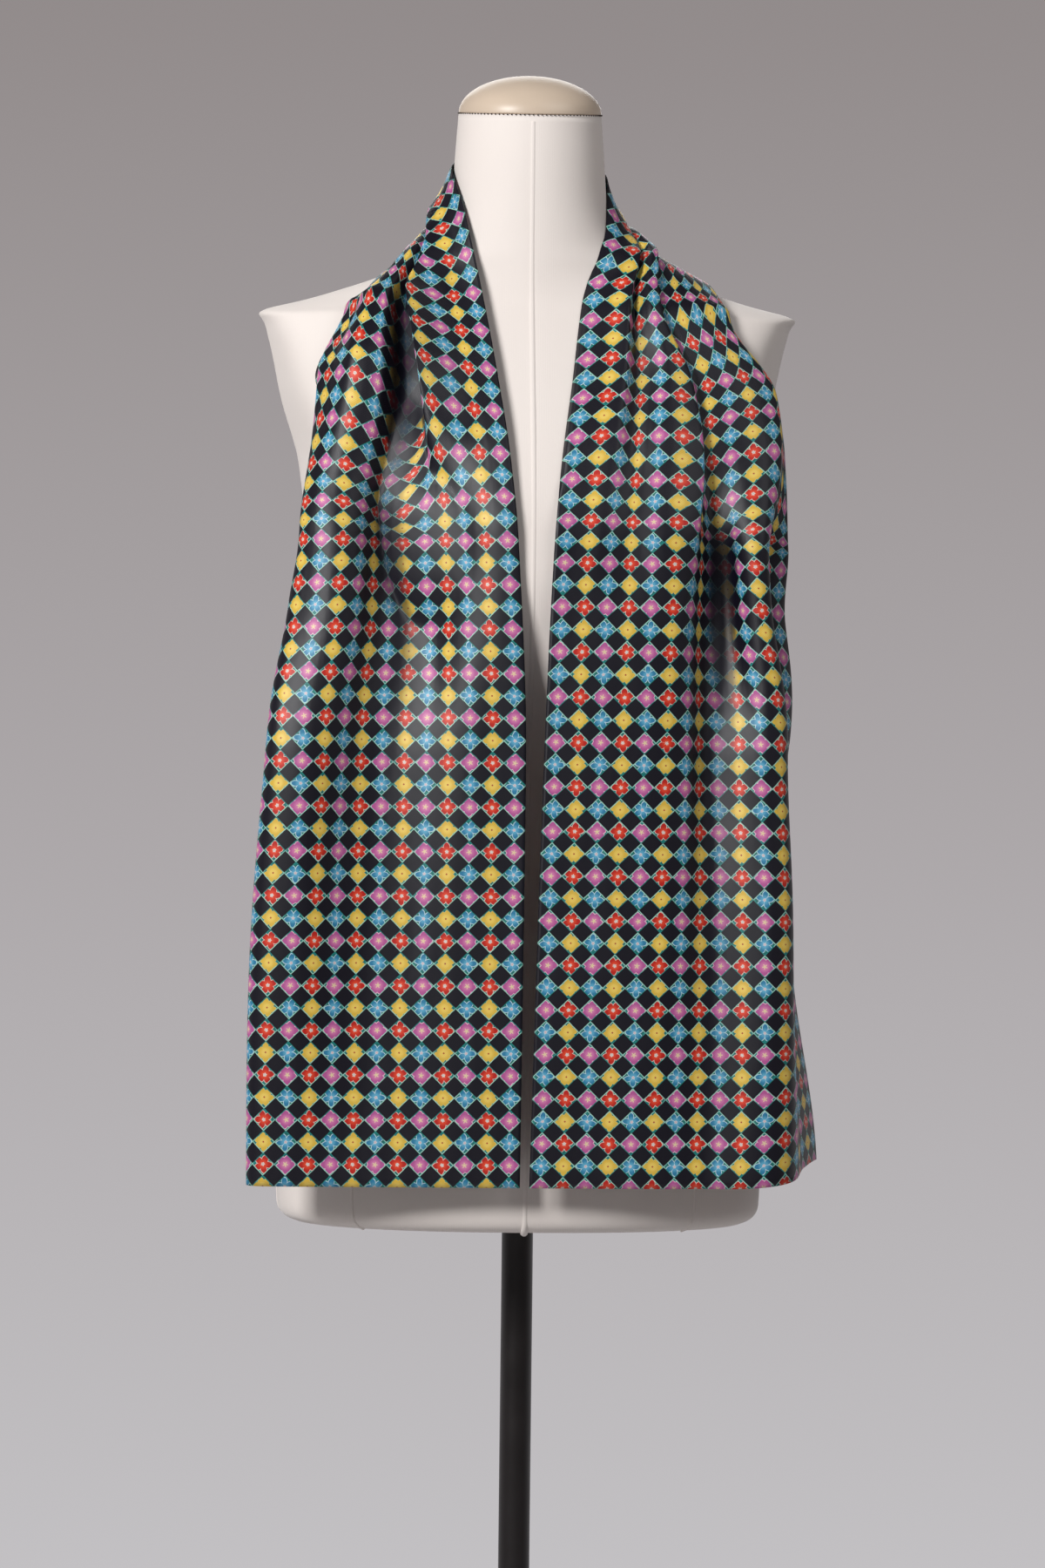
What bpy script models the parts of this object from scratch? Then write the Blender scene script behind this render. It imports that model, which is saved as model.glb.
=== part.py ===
"""Silk scarf hung round the neck of a limbless dress form on a pole.

Metres, +Z up, the front towards -Y. The origin lies on the floor under the pole.
The scarf is one straight strip of cloth, hem to hem. A row is one pitch of its woven check
along the strip and a column one pitch across it, so a point of the cloth is (column, row).
"""
import math

import bmesh
import bpy
import numpy as np

COLLECTION = "silk_scarf_on_dress_form"

MILLIMETRE = 0.001

# The strip of cloth.
PITCH = 0.0157
COLUMNS = 17
ROWS = 107
WALL = 0.0012
SEAM_GAP = 0.0003
OFFSET_CLAMP = 2.0
CLEAR_OF_FORM = 0.0010
LEFT_SHOULDER_ROW = 47.0
RIGHT_SHOULDER_ROW = 60.0
STEPS_PER_COLUMN = 20

# The stand.
GAP = 0.0003
POLE_RADIUS = 0.0115
BASE_RADIUS = 0.170
BASE_THICKNESS = 0.010
BASE_EDGE = 0.003
FORM_BOTTOM = 0.800

# The neck cap, a shallow dome tilted forward with the top of the neck.
NECK_TOP = 1.611
NECK_TILT = math.radians(9.0)
TILT_FROM = 1.560
CAP_RADIUS = 0.0525
CAP_HEIGHT = 0.0275

# The form's level sections. Plate is the half width at the flat plate that closes each armhole,
# and NO_PLATE where the side is not cut by one.
NO_PLATE = 1.0
PLATE_TURN = 0.30
PLATE_CORNER = 14
FORM_SIDES = 44
FORM_STEPS = 2
#    height  half_width  front   back    plate     power
FORM = (
    (0.8000, 0.1650, 0.1045, 0.1105, NO_PLATE, 2.3),
    (0.8030, 0.1715, 0.1110, 0.1170, NO_PLATE, 2.3),
    (0.8120, 0.1765, 0.1155, 0.1215, NO_PLATE, 2.3),
    (0.8500, 0.1775, 0.1165, 0.1225, NO_PLATE, 2.3),
    (0.9100, 0.1690, 0.1140, 0.1190, NO_PLATE, 2.3),
    (0.9900, 0.1420, 0.1030, 0.1010, NO_PLATE, 2.2),
    (1.0700, 0.1180, 0.0950, 0.0840, NO_PLATE, 2.2),
    (1.1400, 0.1250, 0.1020, 0.0880, NO_PLATE, 2.2),
    (1.2100, 0.1430, 0.1240, 0.1050, NO_PLATE, 2.2),
    (1.2650, 0.1580, 0.1340, 0.1150, 0.3000, 2.2),
    (1.3050, 0.1740, 0.1315, 0.1180, 0.1650, 2.2),
    (1.3500, 0.2000, 0.1190, 0.1180, 0.1675, 1.9),
    (1.4000, 0.2300, 0.0950, 0.1120, 0.1810, 1.7),
    (1.4400, 0.2450, 0.0765, 0.1000, 0.1895, 1.55),
    (1.4570, 0.2350, 0.0690, 0.0910, 0.1955, 1.5),
    (1.4640, 0.2000, 0.0660, 0.0860, 0.2100, 1.5),
    (1.4710, 0.1680, 0.0635, 0.0800, 0.3000, 1.5),
    (1.4800, 0.1380, 0.0615, 0.0730, NO_PLATE, 1.5),
    (1.4900, 0.1090, 0.0600, 0.0670, NO_PLATE, 1.6),
    (1.5000, 0.0870, 0.0590, 0.0630, NO_PLATE, 1.8),
    (1.5120, 0.0710, 0.0580, 0.0600, NO_PLATE, 1.9),
    (1.5280, 0.0615, 0.0570, 0.0575, NO_PLATE, 2.0),
    (1.5500, 0.0568, 0.0560, 0.0560, NO_PLATE, 2.0),
    (1.5800, 0.0548, 0.0545, 0.0545, NO_PLATE, 2.0),
    (NECK_TOP, CAP_RADIUS, 0.0518, 0.0518, NO_PLATE, 2.0),
)

# The scarf's inner edge, and the way the cloth leaves it: bearing is measured from +X towards +Y,
# dip is downwards.
#   row     x        y        z       bearing  dip
EDGE = (
    (0.0, -0.0050, -0.1400, 0.8350, 180.0, 0.0),
    (19.0, -0.0040, -0.1405, 1.1335, 180.0, 0.0),
    (29.0, -0.0110, -0.1400, 1.2900, 176.0, 0.0),
    (33.0, -0.0170, -0.1265, 1.3515, 167.0, 2.0),
    (37.0, -0.0260, -0.0990, 1.4127, 158.0, 6.0),
    (41.0, -0.0360, -0.0700, 1.4720, 158.0, 16.0),
    (45.0, -0.0480, -0.0420, 1.5323, 156.0, 34.0),
    (48.0, -0.0575, -0.0080, 1.5690, 142.0, 50.0),
    (51.0, -0.0440, 0.0400, 1.5830, 115.0, 62.0),
    (53.6, 0.0000, 0.0595, 1.5880, 90.0, 66.0),
    (56.3, 0.0450, 0.0390, 1.5810, 66.0, 62.0),
    (59.0, 0.0580, 0.0060, 1.5640, 40.0, 50.0),
    (61.0, 0.0550, -0.0180, 1.5390, 26.0, 36.0),
    (65.5, 0.0365, -0.0500, 1.4710, 20.0, 15.0),
    (70.0, 0.0280, -0.0870, 1.4040, 17.0, 6.0),
    (74.0, 0.0200, -0.1170, 1.3470, 10.0, 2.0),
    (78.0, 0.0145, -0.1400, 1.2900, 3.0, 0.0),
    (88.0, 0.0085, -0.1405, 1.1330, 0.0, 0.0),
    (107.0, 0.0015, -0.1400, 0.8350, 0.0, 0.0),
)

# Folds of the hanging stretches. Each row of a table is a section across the strip, and gives the
# cloth's heading in degrees at the named columns: 0 runs outwards, positive comes forward,
# negative goes back, and past 90 the cloth runs back behind itself as a pleat.
#    edge band ridge wall floor rise wall roll crest slope fold tuck back strip side turn end
LEFT_AT = (0.0, 2.0, 3.9, 4.6, 6.0, 7.0, 8.2, 9.0, 10.4, 11.5, 12.1, 12.7, 13.3, 14.4, 15.4, 16.2, 17.0)
#   row
LEFT = (
    (0.0, 0, 0, 0, 0, 0, 0, 0, 0, 0, -8, -45, -95, -130, -155, -160, -165, -168),
    (10.0, 0, 0, -5, -5, -1, 6, 18, 20, 1, -12, -36, -82, -122, -148, -158, -165, -168),
    (19.0, 0, 0, -14, -14, -4, 14, 36, 36, 2, -20, -50, -95, -130, -155, -160, -165, -168),
    (26.0, 8, -16, -42, -26, 8, 42, 52, 28, -18, -38, -74, -112, -140, -158, -165, -168, -170),
    (29.5, 12, -24, -42, -30, 4, 50, 62, 36, -16, -46, -92, -126, -145, -160, -165, -168, -170),
    (38.0, 22, -6, -30, -40, -10, 46, 66, 40, -12, -42, -95, -130, -148, -160, -165, -168, -170),
)
#    edge band ridge wall floor crest roll lip under deep rise crown fold tuck back out end
RIGHT_AT = (0.0, 1.4, 2.2, 2.8, 3.7, 4.4, 5.6, 6.4, 7.2, 8.8, 10.2, 11.3, 12.3, 13.2, 14.0, 14.8, 17.0)
#   row
RIGHT = (
    (78.0, 2, 0, -8, -10, 0, 6, -14, -44, -60, -40, 88, 44, -70, -145, -100, -20, -42),
    (81.5, 0, 0, 0, 0, 0, 0, -14, -46, -66, -24, 66, 8, -90, -175, -120, -16, -50),
    (88.0, 0, 0, -2, -2, -2, -4, -12, -30, -58, 20, 12, -28, -90, -170, -120, -40, -68),
    (95.0, 0, 0, 0, 0, -2, -2, -8, -20, -34, 14, 10, -26, -80, -120, -100, -70, -76),
    (107.0, 0, 0, 0, 0, 0, 0, -2, -6, -8, 6, 0, -34, -70, -84, -82, -74, -72),
)

# Folds of the stretch that lies on the shoulders and round the back of the neck: the columns of
# its creases, and how far out over the form and how high off it they lie, in millimetres.
#   row    edge band lip under floor floor wall roll crest slope valley ridge fold tuck strip out end
LAID_AT = (
    (37.0, 0.0, 2.0, 4.3, 4.7, 5.4, 6.6, 7.3, 8.4, 9.6, 10.5, 11.2, 11.9, 12.6, 13.4, 14.6, 15.7, 17.0),
    (41.0, 0.0, 2.0, 4.0, 4.5, 5.2, 6.5, 7.2, 8.2, 9.4, 10.4, 11.2, 12.0, 12.8, 13.6, 14.7, 15.8, 17.0),
    (45.0, 0.0, 1.2, 2.4, 3.2, 4.4, 5.6, 6.4, 7.4, 8.6, 9.6, 10.5, 11.4, 12.3, 13.2, 14.4, 15.6, 17.0),
    (54.0, 0.0, 1.4, 2.8, 3.8, 4.8, 5.8, 6.8, 7.8, 8.8, 9.8, 10.8, 11.8, 12.8, 13.8, 14.8, 15.8, 17.0),
    (61.0, 0.0, 1.0, 1.9, 2.3, 2.9, 3.5, 4.1, 4.8, 5.6, 7.4, 9.2, 10.4, 11.6, 13.0, 14.4, 15.7, 17.0),
    (66.0, 0.0, 1.2, 2.1, 2.5, 3.1, 3.7, 4.4, 5.0, 5.8, 7.6, 9.3, 10.6, 11.8, 13.0, 14.2, 15.6, 17.0),
    (70.0, 0.0, 1.2, 2.2, 2.7, 3.3, 4.0, 5.2, 6.3, 7.0, 8.6, 10.0, 11.0, 12.0, 12.9, 13.9, 15.2, 17.0),
    (75.0, 0.0, 1.2, 2.2, 2.7, 3.2, 3.8, 5.2, 6.6, 7.3, 9.0, 10.4, 11.3, 12.3, 13.1, 14.2, 15.8, 17.0),
)
LAID_RUN = (
    (30.0, 0, 27, 56, 57, 60, 72, 79, 95, 110, 121, 129, 136, 142, 139, 124, 134, 144),
    (37.0, 0, 27, 54, 55, 57, 65, 70, 84, 97, 107, 115, 122, 128, 125, 115, 123, 133),
    (41.0, 0, 27, 51, 51, 52, 57, 61, 69, 78, 85, 90, 95, 99, 97, 90, 95, 101),
    (43.0, 0, 21, 41, 41, 42, 46, 50, 56, 64, 70, 75, 79, 83, 81, 77, 82, 87),
    (45.0, 0, 16, 31, 31, 32, 36, 40, 46, 54, 60, 64, 68, 72, 71, 69, 75, 81),
    (49.0, 0, 16, 32, 34, 37, 43, 46, 52, 63, 73, 78, 84, 92, 93, 95, 103, 112),
    (54.0, 0, 18, 36, 40, 46, 56, 63, 70, 82, 92, 96, 104, 114, 119, 125, 132, 140),
    (58.0, 0, 16, 30, 32, 35, 41, 46, 52, 51, 52, 60, 68, 78, 90, 102, 110, 115),
    (61.0, 0, 13, 24, 25, 26, 29, 32, 36, 34, 37, 48, 58, 69, 81, 89, 88, 84),
    (66.0, 0, 18, 32, 34, 37, 41, 47, 53, 50, 52, 66, 79, 91, 100, 102, 98, 94),
    (70.0, 0, 20, 36, 41, 47, 55, 70, 84, 82, 88, 104, 118, 132, 144, 149, 150, 151),
    (75.0, 0, 20, 37, 43, 50, 57, 78, 102, 100, 104, 120, 134, 150, 160, 163, 166, 170),
    (79.0, 0, 20, 37, 43, 50, 57, 78, 104, 104, 108, 124, 136, 152, 158, 154, 164, 174),
)
LAID_RISE = (
    (30.0, 3, 12, 22, 18, 8, 4, 8, 24, 28, 25, 19, 16, 10, 5, 3, 2, 1),
    (37.0, 1, 12, 25, 20, 5, 2, 8, 23, 25, 20, 15, 13, 9, 5, 3, 2, 1),
    (41.0, 1, 8, 18, 13, 4, 2, 6, 14, 16, 13, 9, 9, 6, 3, 2, 1, 1),
    (43.5, 1, 6, 15, 10, 4, 2, 6, 13, 13, 8, 5, 4, 3, 2, 1, 1, 0),
    (46.0, 0, 6, 14, 10, 4, 3, 6, 11, 10, 6, 4, 4, 3, 2, 1, 1, 0),
    (49.0, 0, 5, 12, 9, 3, 2, 6, 10, 11, 8, 4, 6, 6, 3, 1, 1, 0),
    (54.0, 0, 6, 12, 9, 3, 3, 9, 12, 9, 3, 4, 10, 10, 4, 1, 2, 0),
    (58.0, 0, 5, 11, 8, 3, 6, 11, 10, 7, 3, 3, 6, 7, 4, 2, 2, 0),
    (61.0, 0, 5, 9, 6, 3, 7, 11, 10, 5, 4, 6, 7, 6, 5, 4, 2, 0),
    (66.0, 1, 6, 11, 6, 2, 8, 14, 13, 6, 5, 8, 9, 8, 7, 5, 2, 1),
    (70.0, 2, 6, 10, 6, 3, 8, 14, 12, 5, 4, 8, 11, 12, 11, 9, 5, 3),
    (75.0, 3, 5, 8, 6, 4, 6, 12, 11, 4, 2, 5, 10, 14, 12, 8, 4, 2),
)
# The rows between which the cloth comes to lie on the form, and leaves it to hang free again.
LIES_FROM = (29.0, 37.5)
LIES_TO = (72.0, 82.0)
LYING_GAP = 0.0022
SKIN_STEP = 0.0025
SKIN_REACH = 0.20
# How many rows away the way off the form is looked at too, to turn it slowly over the shoulder.
WAYS_SPREAD = (-2.4, -1.2, 1.2, 2.4)
# Cells between two named columns, and rows to a cell at these rows.
FRONT_CELLS = 2
BACK_CELLS = 46
CELL_AT = (0.0, 24.0, 30.0, 44.0, 63.0, 77.0, 84.0, 107.0)
CELL_ROWS = (2.6, 2.2, 1.2, 0.8, 0.8, 1.2, 2.2, 2.6)

# Colours and surface of the pieces.
#            red    green  blue   rough metal
FINISH = {
    "silk_print": (0.060, 0.070, 0.110, 0.42, 0.0),
    "form_jersey": (0.870, 0.820, 0.780, 0.80, 0.0),
    "neck_cap": (0.780, 0.680, 0.540, 0.45, 0.0),
    "stand_paint": (0.012, 0.010, 0.010, 0.35, 0.2),
}


def clear_scene():
    for item in list(bpy.data.objects):
        bpy.data.objects.remove(item, do_unlink=True)


def collection():
    group = bpy.data.collections.get(COLLECTION)
    if group is None:
        group = bpy.data.collections.new(COLLECTION)
        bpy.context.scene.collection.children.link(group)
    return group


def finish(name):
    red, green, blue, rough, metal = FINISH[name]
    material = bpy.data.materials.new(name)
    material.use_nodes = True
    shader = material.node_tree.nodes["Principled BSDF"]
    shader.inputs["Base Color"].default_value = (red, green, blue, 1.0)
    shader.inputs["Roughness"].default_value = rough
    shader.inputs["Metallic"].default_value = metal
    material.diffuse_color = (red, green, blue, 1.0)
    return material


def place(mesh, name, slot):
    item = bpy.data.objects.new(name, mesh)
    collection().objects.link(item)
    mesh.materials.append(finish(slot))
    mesh.shade_smooth()
    return item


def through(stations, values, at):
    """Smooth curve through the values that never swings past them, one column at a time."""
    stations = np.asarray(stations, float)
    values = np.asarray(values, float)
    at = np.clip(np.asarray(at, float), stations[0], stations[-1])
    step = np.diff(stations)
    step = step.reshape((-1,) + (1,) * (values.ndim - 1))
    slope = np.diff(values, axis=0) / step
    before, after = slope[:-1], slope[1:]
    same = before * after > 0.0
    mean = np.where(same, 2.0 * before * after / np.where(same, before + after, 1.0), 0.0)
    tangent = np.concatenate([slope[:1], mean, slope[-1:]])
    cell = np.clip(np.searchsorted(stations, at, side="right") - 1, 0, len(stations) - 2)
    width = step[cell]
    part = ((at - stations[cell]).reshape(width.shape)) / width
    return (
        values[cell] * (1 + 2 * part) * (1 - part) ** 2
        + tangent[cell] * width * part * (1 - part) ** 2
        + values[cell + 1] * part**2 * (3 - 2 * part)
        + tangent[cell + 1] * width * part**2 * (part - 1)
    )


def form_sections(per_gap):
    """The form's table with this many sections to each gap between its rows."""
    table = np.array(FORM)
    places = np.arange(0.0, len(table) - 1 + 1e-9, 1.0 / per_gap)
    return through(np.arange(len(table)), table, places)


FINE_FORM = form_sections(12)


def hull_sections():
    """What cloth that hangs over the form meets: no armhole plates, and never narrower than the
    form is above."""
    hull = FINE_FORM.copy()
    hull[:, 1:4] = np.maximum.accumulate(hull[::-1, 1:4], axis=0)[::-1]
    hull[:, 4] = NO_PLATE
    return hull


HULL = hull_sections()


def form_level(x, y, sections):
    """1 on the form's outline, less inside it and more outside."""
    half, front, back, plate, power = sections
    depth = np.where(y < 0.0, front, back)
    round_part = ((np.abs(x) / half) ** power + (np.abs(y) / depth) ** power) ** (1.0 / power)
    plate_part = (np.abs(x) + PLATE_TURN * np.maximum(0.0, -y)) / plate
    return (round_part**PLATE_CORNER + plate_part**PLATE_CORNER) ** (1.0 / PLATE_CORNER)


def level_at(points, sections):
    x, y, z = points[..., 0], points[..., 1], points[..., 2]
    columns = [np.interp(z, sections[:, 0], sections[:, k]) for k in range(1, 6)]
    return form_level(x, y, columns) - 1.0


def distance_to_form(points, sections=FINE_FORM):
    """How far each point is outside the form, and the way out."""
    nudge = 0.0005
    level = level_at(points, sections)
    way = np.zeros_like(points)
    for axis in range(3):
        shift = np.zeros(3)
        shift[axis] = nudge
        ahead, behind = level_at(points + shift, sections), level_at(points - shift, sections)
        way[..., axis] = (ahead - behind) / (2 * nudge)
    steep = np.maximum(np.linalg.norm(way, axis=-1), 1e-6)
    return level / steep, way / steep[..., None]


def laid_clear(points):
    """Moves what would sink into the form out to its skin."""
    least = CLEAR_OF_FORM + WALL / 2
    for _ in range(6):
        distance, way = distance_to_form(points)
        push = np.maximum(0.0, least - distance)
        points = points + way * push[..., None]
    return points


def eased(value):
    value = np.clip(value, 0.0, 1.0)
    return value * value * (3 - 2 * value)


def hung_section(columns, rows, marks, table):
    """Run and rise of the hanging cloth, from its headings summed across the strip."""
    fine = np.linspace(0.0, COLUMNS, COLUMNS * STEPS_PER_COLUMN + 1)
    table = np.array(table, float)
    heading = np.radians(through(table[:, 0], table[:, 1:], rows))
    middle = (fine[1:] + fine[:-1]) / 2
    heading = np.stack([through(marks, line, middle) for line in heading])
    start = np.zeros((len(rows), 1))
    step = PITCH / STEPS_PER_COLUMN
    run = np.concatenate([start, np.cumsum(np.cos(heading) * step, axis=1)], axis=1)
    rise = np.concatenate([start, np.cumsum(np.sin(heading) * step, axis=1)], axis=1)
    run = np.stack([np.interp(at, fine, line) for at, line in zip(columns, run)])
    rise = np.stack([np.interp(at, fine, line) for at, line in zip(columns, rise)])
    return run[..., None], rise[..., None]


def laid_section(columns, rows):
    """Run and rise of the cloth that lies on the form, from its creases."""
    marks, out, up = (
        through(np.array(table)[:, 0], np.array(table)[:, 1:], rows)
        for table in (LAID_AT, LAID_RUN, LAID_RISE)
    )
    run = np.stack([through(a, b, c) for a, b, c in zip(marks, out, columns)])
    rise = np.stack([through(a, b, c) for a, b, c in zip(marks, up, columns)])
    return run * MILLIMETRE, rise * MILLIMETRE


def skin_lines(edge, outward):
    """Lines that run outwards over the form's hull from the cloth's inner edge, with the way off
    it at each of their points."""
    points, ways = [edge], []
    for _ in range(round(SKIN_REACH / SKIN_STEP)):
        _, way = distance_to_form(points[-1], HULL)
        flat = outward - way * np.sum(outward * way, axis=1)[:, None]
        flat /= np.maximum(np.linalg.norm(flat, axis=1), 0.2)[:, None]
        there = points[-1] + flat * SKIN_STEP
        gap, out = distance_to_form(there, HULL)
        gap = gap[:, None]
        there += out * (np.maximum(0.0, LYING_GAP - gap) - np.clip(gap - LYING_GAP, 0.0, 0.0008))
        points.append(there)
        ways.append(way)
    ways.append(ways[-1])
    points, ways = np.stack(points, axis=1), np.stack(ways, axis=1)
    padded = np.pad(ways, ((0, 0), (6, 6), (0, 0)), mode="edge")
    ways = sum(padded[:, k : k + ways.shape[1]] for k in range(13))
    ways /= np.linalg.norm(ways, axis=2)[..., None]
    return points, ways


def edge_frame(rows):
    """The cloth's inner edge, the way it leaves it outwards, and the way off the form."""
    edge = np.array(EDGE)
    here = through(edge[:, 0], edge[:, 1:], rows)
    nudge = 0.5
    ahead = through(edge[:, 0], edge[:, 1:4], rows + nudge)
    behind = through(edge[:, 0], edge[:, 1:4], rows - nudge)
    bearing, dip = np.radians(here[:, 3]), np.radians(here[:, 4])
    outward = np.stack(
        [np.cos(dip) * np.cos(bearing), np.cos(dip) * np.sin(bearing), -np.sin(dip)], axis=1
    )
    proud = np.cross(ahead - behind, outward)
    proud /= np.linalg.norm(proud, axis=1)[:, None]
    return here[:, :3], outward, proud


def scarf_points(columns, rows):
    """Where the cloth's points lie. The result is an array by row, column and axis."""
    columns = np.broadcast_to(columns, (len(rows), np.shape(columns)[-1]))
    edge, outward, proud = edge_frame(rows)

    left = (rows < (LEFT_SHOULDER_ROW + RIGHT_SHOULDER_ROW) / 2)[:, None, None]
    left_run, left_rise = hung_section(columns, rows, LEFT_AT, LEFT)
    right_run, right_rise = hung_section(columns, rows, RIGHT_AT, RIGHT)
    run, rise = np.where(left, left_run, right_run), np.where(left, left_rise, right_rise)
    hung = edge[:, None] + outward[:, None] * run + proud[:, None] * rise

    lines, ways = skin_lines(edge, outward)
    for shift in WAYS_SPREAD:
        near_edge, near_outward, _ = edge_frame(np.clip(rows + shift, 0.0, ROWS))
        ways = ways + skin_lines(near_edge, near_outward)[1]
    ways /= np.linalg.norm(ways, axis=2)[..., None]
    reach = np.arange(lines.shape[1]) * SKIN_STEP
    run, rise = laid_section(columns, rows)
    laid = np.zeros(columns.shape + (3,))
    for k in range(len(rows)):
        for axis in range(3):
            laid[k, :, axis] = np.interp(run[k], reach, lines[k, :, axis])
            laid[k, :, axis] += rise[k] * np.interp(run[k], reach, ways[k, :, axis])

    lies = eased((rows - LIES_FROM[0]) / (LIES_FROM[1] - LIES_FROM[0]))
    lies *= eased((LIES_TO[1] - rows) / (LIES_TO[1] - LIES_TO[0]))
    lies = lies[:, None, None]
    return laid_clear(hung * (1 - lies) + laid * lies)


def fold_columns(marks, cells):
    """Columns to model: each gap between two named columns is cut in so many cells."""
    places = np.arange(0.0, len(marks) - 1 + 1e-9, 1.0 / cells)
    return np.interp(places, np.arange(len(marks)), marks)


def spaced(first, last):
    """Rows to model: few where the cloth hangs straight, more where it bends over the form."""
    places = [first]
    while places[-1] < last:
        cell = np.interp(places[-1], CELL_AT, CELL_ROWS)
        places.append(places[-1] + cell)
    places = np.array(places)
    return first + (places - first) * (last - first) / (places[-1] - first)


def cloth_mesh(name, points):
    """Open sheet from a grid of points, its faces towards the outside of the drape."""
    mesh = bpy.data.meshes.new(name)
    build = bmesh.new()
    grid = [[build.verts.new(tuple(point)) for point in line] for line in points]
    for low, high in zip(grid[:-1], grid[1:]):
        for k in range(len(low) - 1):
            build.faces.new((low[k], high[k], high[k + 1], low[k + 1]))
    build.to_mesh(mesh)
    build.free()
    return mesh


def scarf_stretch(name, columns, rows):
    points = scarf_points(columns, rows)
    item = place(cloth_mesh(name, points), name, "silk_print")
    wall = item.modifiers.new("wall", "SOLIDIFY")
    wall.thickness = WALL
    wall.offset = 0.0
    wall.use_even_offset = True
    wall.thickness_clamp = OFFSET_CLAMP
    return item


def scarf():
    half = SEAM_GAP / 2 / PITCH
    left, right = LEFT_SHOULDER_ROW, RIGHT_SHOULDER_ROW
    left_columns = fold_columns(LEFT_AT, FRONT_CELLS)
    right_columns = fold_columns(RIGHT_AT, FRONT_CELLS)
    back_columns = fold_columns((0.0, COLUMNS), BACK_CELLS)
    scarf_stretch("scarf_left_front", left_columns, spaced(0.0, left - half))
    scarf_stretch("scarf_back_neck", back_columns, spaced(left + half, right - half))
    scarf_stretch("scarf_right_front", right_columns, spaced(right + half, ROWS))


def form_body():
    """Loft through the form's level sections, closed flat below and at the top of the neck."""
    sections = form_sections(FORM_STEPS)
    mesh = bpy.data.meshes.new("form_body")
    build = bmesh.new()
    rings = []
    for height, *columns in sections:
        tilt = math.tan(NECK_TILT) * max(0.0, (height - TILT_FROM) / (NECK_TOP - TILT_FROM))
        ring = []
        for k in range(FORM_SIDES):
            turn = 2 * math.pi * k / FORM_SIDES
            x = columns[0] * math.cos(turn)
            y = (columns[1] if math.sin(turn) < 0 else columns[2]) * math.sin(turn)
            reach = 1.0 / float(form_level(x, y, columns))
            ring.append(build.verts.new((x * reach, y * reach, height + tilt * y * reach)))
        rings.append(ring)
    for low, high in zip(rings[:-1], rings[1:]):
        for k in range(FORM_SIDES):
            after = (k + 1) % FORM_SIDES
            build.faces.new((low[k], low[after], high[after], high[k]))
    under = build.verts.new((0.0, 0.0, FORM_BOTTOM))
    over = build.verts.new((0.0, 0.0, NECK_TOP))
    for k in range(FORM_SIDES):
        after = (k + 1) % FORM_SIDES
        build.faces.new((rings[0][after], rings[0][k], under))
        build.faces.new((rings[-1][k], rings[-1][after], over))
    build.to_mesh(mesh)
    build.free()
    return place(mesh, "form_body", "form_jersey")


def turned(name, profile, slot, sides):
    """Solid of revolution from a profile that runs down its outer side, from axis to axis."""
    mesh = bpy.data.meshes.new(name)
    build = bmesh.new()
    corners = [build.verts.new((radius, 0.0, height)) for radius, height in profile]
    for near, far in zip(corners[:-1], corners[1:]):
        build.edges.new((near, far))
    build.to_mesh(mesh)
    build.free()
    item = place(mesh, name, slot)
    screw = item.modifiers.new("turn", "SCREW")
    screw.steps = sides
    screw.render_steps = sides
    screw.use_merge_vertices = True
    screw.merge_threshold = 0.00001
    return item


def neck_cap():
    steps = 8
    profile = []
    for k in range(steps + 1):
        turn = math.pi / 2 * k / steps
        profile.append((CAP_RADIUS * math.sin(turn), CAP_HEIGHT * math.cos(turn)))
    profile.append((0.0, 0.0))
    item = turned("form_neck_cap", profile, "neck_cap", 40)
    item.location = (0.0, 0.0, NECK_TOP + GAP)
    item.rotation_euler = (NECK_TILT, 0.0, 0.0)
    return item


def stand_pole():
    low, high = BASE_THICKNESS + GAP, FORM_BOTTOM - GAP
    profile = [(0.0, high), (POLE_RADIUS, high), (POLE_RADIUS, low), (0.0, low)]
    return turned("stand_pole", profile, "stand_paint", 32)


def stand_base():
    steps = 3
    profile = [(0.0, BASE_THICKNESS)]
    for k in range(steps + 1):
        turn = math.pi / 2 * k / steps
        profile.append(
            (
                BASE_RADIUS - BASE_EDGE * (1 - math.sin(turn)),
                BASE_THICKNESS - BASE_EDGE * (1 - math.cos(turn)),
            )
        )
    profile += [(BASE_RADIUS, 0.0), (0.0, 0.0)]
    return turned("stand_base", profile, "stand_paint", 64)


clear_scene()
scarf()
form_body()
neck_cap()
stand_pole()
stand_base()
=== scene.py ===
"""Looks of a long printed silk scarf hung round the neck of a limbless dress form.

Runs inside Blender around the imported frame. Metres, +Z up, the front towards -Y.
"""
import math

import bmesh
import bpy
import numpy as np
from mathutils import Matrix, Vector


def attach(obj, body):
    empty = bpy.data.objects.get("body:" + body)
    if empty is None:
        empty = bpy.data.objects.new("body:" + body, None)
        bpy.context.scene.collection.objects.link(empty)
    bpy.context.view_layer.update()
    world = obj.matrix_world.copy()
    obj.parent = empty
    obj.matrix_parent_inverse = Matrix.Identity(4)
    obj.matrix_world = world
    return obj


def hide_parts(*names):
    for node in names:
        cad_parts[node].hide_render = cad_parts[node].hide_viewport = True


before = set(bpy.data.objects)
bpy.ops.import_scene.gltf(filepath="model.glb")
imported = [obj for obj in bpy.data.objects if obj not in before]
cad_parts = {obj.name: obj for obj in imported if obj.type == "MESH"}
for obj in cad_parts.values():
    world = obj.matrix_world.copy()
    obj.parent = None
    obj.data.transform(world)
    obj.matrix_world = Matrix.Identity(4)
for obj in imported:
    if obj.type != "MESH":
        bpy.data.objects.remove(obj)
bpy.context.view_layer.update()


# The body of the dress form: a padded shell in a knitted off-white jersey cover, shaped like a
# hip-length torso with a flat plate closing each armhole. It is lofted through level sections.
FORM_SIDES = 144
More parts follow.
